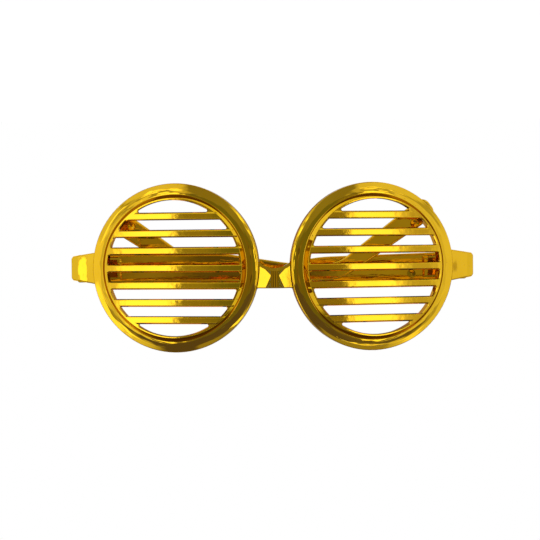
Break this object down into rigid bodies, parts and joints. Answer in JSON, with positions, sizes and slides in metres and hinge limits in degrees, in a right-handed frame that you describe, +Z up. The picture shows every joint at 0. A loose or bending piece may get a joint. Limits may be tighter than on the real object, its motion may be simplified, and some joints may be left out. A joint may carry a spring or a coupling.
{
  "type": "novelty glasses",
  "caption": "Round moulded party glasses with level slats across each opening in place of a lens, and folding temples with ear hooks on pinned hinges.",
  "frame": {"origin": "top of the nose arch under the bridge, halfway through the bridge's thickness at its middle", "axes": "+X to the wearer's left, +Y to the back (towards the wearer's ears), +Z up as worn"},
  "size_m": [0.1506, 0.0322, 0.062],
  "materials": {
    "gold_plastic": "vacuum-metallised gold, mirror gloss",
    "pin_steel": "plain steel wire"
  },
  "bodies": {
    "front": {"front_frame": "gold_plastic", "hinge_pin_left": "pin_steel", "hinge_pin_right": "pin_steel"},
    "left_temple": {"temple_left": "gold_plastic"},
    "right_temple": {"temple_right": "gold_plastic"}
  },
  "joints": [
    {"name": "temple_left_hinge", "type": "hinge", "parent": "front", "child": "left_temple", "pos_m": [0.07153, 0.02189, -0.0002], "axis": [0, 0, -1], "range_deg": [0, 92.4]},
    {"name": "temple_right_hinge", "type": "hinge", "parent": "front", "child": "right_temple", "pos_m": [-0.07153, 0.02189, -0.0002], "axis": [0, 0, 1], "range_deg": [0, 89.6]}
  ]
}
